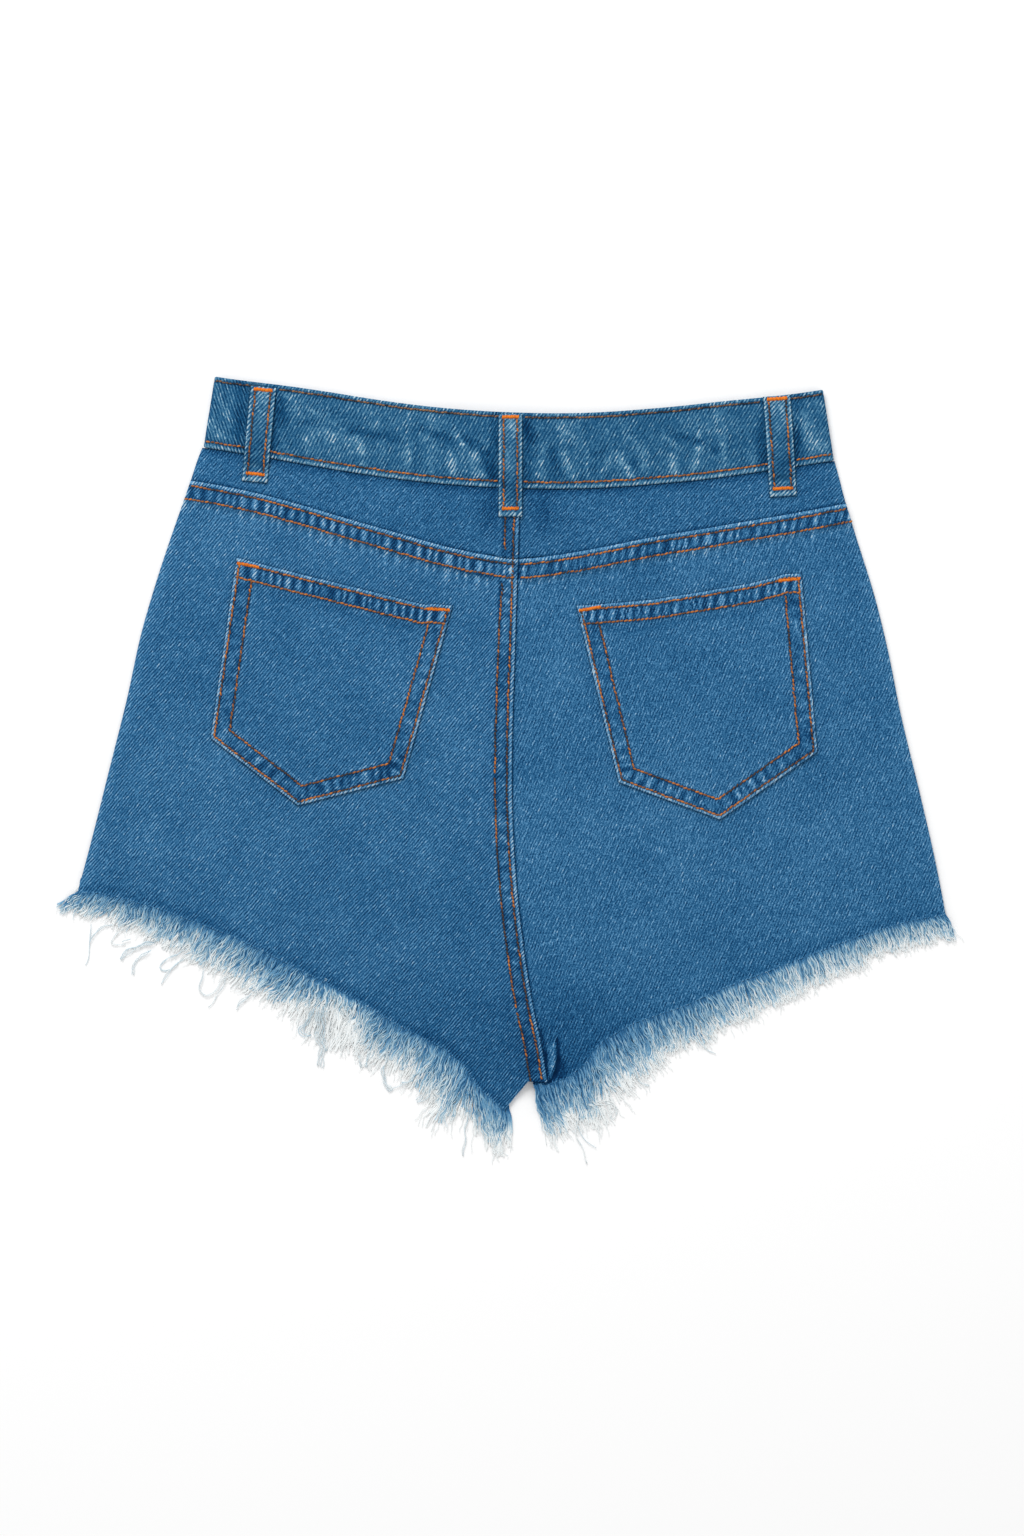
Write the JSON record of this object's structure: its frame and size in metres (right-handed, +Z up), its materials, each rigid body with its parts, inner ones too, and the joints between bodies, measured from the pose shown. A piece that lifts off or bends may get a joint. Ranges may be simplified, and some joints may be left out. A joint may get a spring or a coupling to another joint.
{
  "type": "cut-off denim shorts",
  "caption": "Women's high-waisted denim shorts with a frayed raw hem, patch pockets and belt loops, laid flat on their front.",
  "frame": {"origin": "centre of the bounding box at the floor, where the front of the shorts rests", "axes": "+Y towards the waist, +X towards the wearer's right, +Z up, out of the back of the shorts"},
  "size_m": [0.5236, 0.449, 0.0109],
  "materials": {
    "denim": "washed mid-blue twill",
    "band_denim": "washed mid-blue twill, paler where it is worn",
    "frayed_cotton": "loose cotton threads, white and blue",
    "button_metal": "antique brass"
  },
  "bodies": {
    "root": {"back_left": "denim", "back_right": "denim", "yoke_left": "denim", "yoke_right": "denim", "front_left": "denim", "front_right": "denim", "waistband": "band_denim", "pocket_left": "denim", "pocket_right": "denim", "loop_back_left": "band_denim", "loop_back_middle": "band_denim", "loop_back_right": "band_denim", "loop_front_left": "band_denim", "loop_front_right": "band_denim", "button": "button_metal", "fringe_back_left": "frayed_cotton", "fringe_back_right": "frayed_cotton", "fringe_front_left": "frayed_cotton", "fringe_front_right": "frayed_cotton"}
  },
  "joints": []
}
